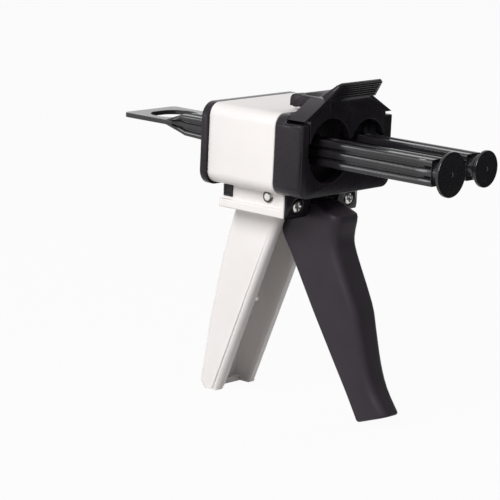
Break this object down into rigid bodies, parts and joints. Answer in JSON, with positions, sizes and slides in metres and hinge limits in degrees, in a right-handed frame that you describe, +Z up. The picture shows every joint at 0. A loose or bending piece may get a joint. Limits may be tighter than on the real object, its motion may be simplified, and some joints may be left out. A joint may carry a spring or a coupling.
{
  "type": "cartridge dispensing gun",
  "caption": "Hand-held dispensing gun with a squeeze trigger, twin push rods with piston discs, a hinged cartridge latch and a thumb release lever.",
  "frame": {"origin": "Centre of the cartridge seat: on the front face of the nose's back wall, on the mid-plane, at the height of the rods' axis.", "axes": "+X forward along the plunger towards the cartridge, +Y to the tool's left, +Z up."},
  "size_m": [0.1638, 0.058, 0.1323],
  "materials": {
    "white_plastic": "satin moulded white plastic",
    "black_plastic": "semi-gloss moulded black plastic",
    "trigger_plastic": "matte moulded dark grey plastic",
    "rod_plastic": "glossy black plastic",
    "steel": "bright plated steel"
  },
  "bodies": {
    "gun_body": {"housing_sleeve": "white_plastic", "handle_frame": "white_plastic", "front_bracket": "black_plastic", "rear_plate": "black_plastic", "bracket_screws": "steel", "rear_plate_screws": "steel", "latch_pin": "steel", "trigger_pin": "steel", "trigger_pin_clip": "steel", "trigger_spring": "steel", "lock_pin": "steel", "lock_spring": "steel", "release_pivot": "black_plastic"},
    "latch_body": {"latch": "black_plastic"},
    "trigger_body": {"trigger": "trigger_plastic", "pawl_pin": "steel", "pawl_spring": "steel"},
    "pawl_body": {"drive_pawl": "steel"},
    "lock_body": {"lock_pawl": "steel"},
    "release_body": {"release_lever": "black_plastic"},
    "plunger_body": {"plunger": "rod_plastic", "push_disc_right": "rod_plastic", "push_disc_left": "rod_plastic"}
  },
  "joints": [
    {"name": "trigger_squeeze", "type": "hinge", "parent": "gun_body", "child": "trigger_body", "pos_m": [-0.0135, 0, -0.0196], "axis": [0, 1, 0], "range_deg": [0, 28], "stiffness_Nm_per_rad": 0.6, "springref_deg": -11.46, "deforming": ["trigger_spring"]},
    {"name": "pawl_swing", "type": "hinge", "parent": "trigger_body", "child": "pawl_body", "pos_m": [-0.01616, 0, -0.00893], "axis": [0, 1, 0], "range_deg": [-28, 0], "deforming": ["pawl_spring"]},
    {"name": "plunger_slide", "type": "slide", "parent": "gun_body", "child": "plunger_body", "axis": [1, 0, 0], "range_m": [-0.062, 0.028]},
    {"name": "latch_lift", "type": "hinge", "parent": "gun_body", "child": "latch_body", "pos_m": [-0.0073, 0, 0.0184], "axis": [0, -1, 0], "range_deg": [0, 60]},
    {"name": "release_press", "type": "hinge", "parent": "gun_body", "child": "release_body", "pos_m": [-0.0341, 0, -0.0203], "axis": [0, -1, 0], "range_deg": [0, 12], "stiffness_Nm_per_rad": 0.15, "springref_deg": -8.59},
    {"name": "lock_drop", "type": "hinge", "parent": "gun_body", "child": "lock_body", "pos_m": [-0.0235, 0, -0.0102], "axis": [0, 1, 0], "range_deg": [0, 11], "deforming": ["lock_spring"]}
  ],
  "couplings": [
    {"joint": "pawl_swing", "follows": "trigger_squeeze", "ratio": -1},
    {"joint": "lock_drop", "follows": "release_press", "ratio": 0.9}
  ]
}
